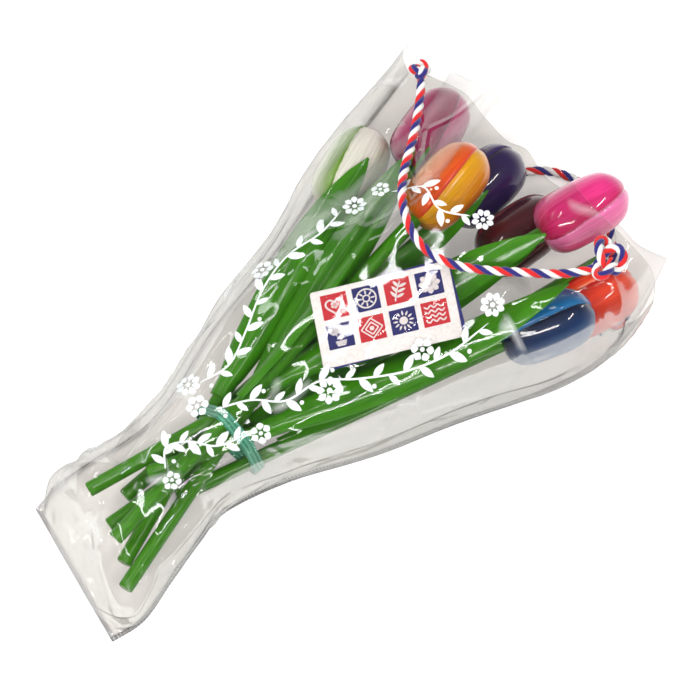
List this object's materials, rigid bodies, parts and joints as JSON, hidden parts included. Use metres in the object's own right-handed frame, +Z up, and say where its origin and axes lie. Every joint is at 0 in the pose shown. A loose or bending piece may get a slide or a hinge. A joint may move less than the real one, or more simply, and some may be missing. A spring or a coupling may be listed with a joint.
{
  "type": "wooden tulip bunch in a bag",
  "caption": "Lacquered wooden tulips tied with a band, lying in a clear film bag with cord handles and a picture card; the bunch slides out of the mouth.",
  "frame": {"origin": "middle of the bag's footprint, on the surface that the back sheet lies on", "axes": "+X along the bag from its closed end to its mouth, +Z up"},
  "size_m": [0.3587, 0.205, 0.0881],
  "materials": {
    "white_lacquer": "gloss lacquer",
    "burgundy_lacquer": "gloss lacquer",
    "yellow_lacquer": "gloss lacquer",
    "purple_lacquer": "gloss lacquer",
    "maroon_lacquer": "gloss lacquer",
    "pink_lacquer": "gloss lacquer",
    "blue_lacquer": "gloss lacquer",
    "red_lacquer": "gloss lacquer",
    "stem_lacquer": "gloss lacquer",
    "leaf_lacquer": "gloss lacquer",
    "band": "satin",
    "picture_card": "coated",
    "backing_card": "coated",
    "film": "clear gloss",
    "cord": "twisted yarn"
  },
  "bodies": {
    "bag": {"bag_back_sheet": "film", "bag_front_sheet": "film", "front_handle_cord": "cord", "back_handle_cord": "cord", "front_left_knot": "cord", "front_right_knot": "cord", "back_left_knot": "cord", "back_right_knot": "cord"},
    "bunch": {"white_head": "white_lacquer", "white_stem": "stem_lacquer", "white_leaf": "leaf_lacquer", "burgundy_head": "burgundy_lacquer", "burgundy_stem": "stem_lacquer", "burgundy_leaf": "leaf_lacquer", "yellow_head": "yellow_lacquer", "yellow_stem": "stem_lacquer", "yellow_leaf": "leaf_lacquer", "purple_head": "purple_lacquer", "purple_stem": "stem_lacquer", "purple_leaf": "leaf_lacquer", "maroon_head": "maroon_lacquer", "maroon_stem": "stem_lacquer", "maroon_leaf": "leaf_lacquer", "pink_head": "pink_lacquer", "pink_stem": "stem_lacquer", "pink_leaf": "leaf_lacquer", "blue_head": "blue_lacquer", "blue_stem": "stem_lacquer", "blue_leaf": "leaf_lacquer", "red_head": "red_lacquer", "red_stem": "stem_lacquer", "red_leaf": "leaf_lacquer", "stem_band": "band", "picture_card": "picture_card", "backing_card": "backing_card"}
  },
  "joints": [
    {"name": "bunch_slide", "type": "slide", "parent": "bag", "child": "bunch", "axis": [0.999, 0, 0.0436], "range_m": [0, 0.36]}
  ]
}
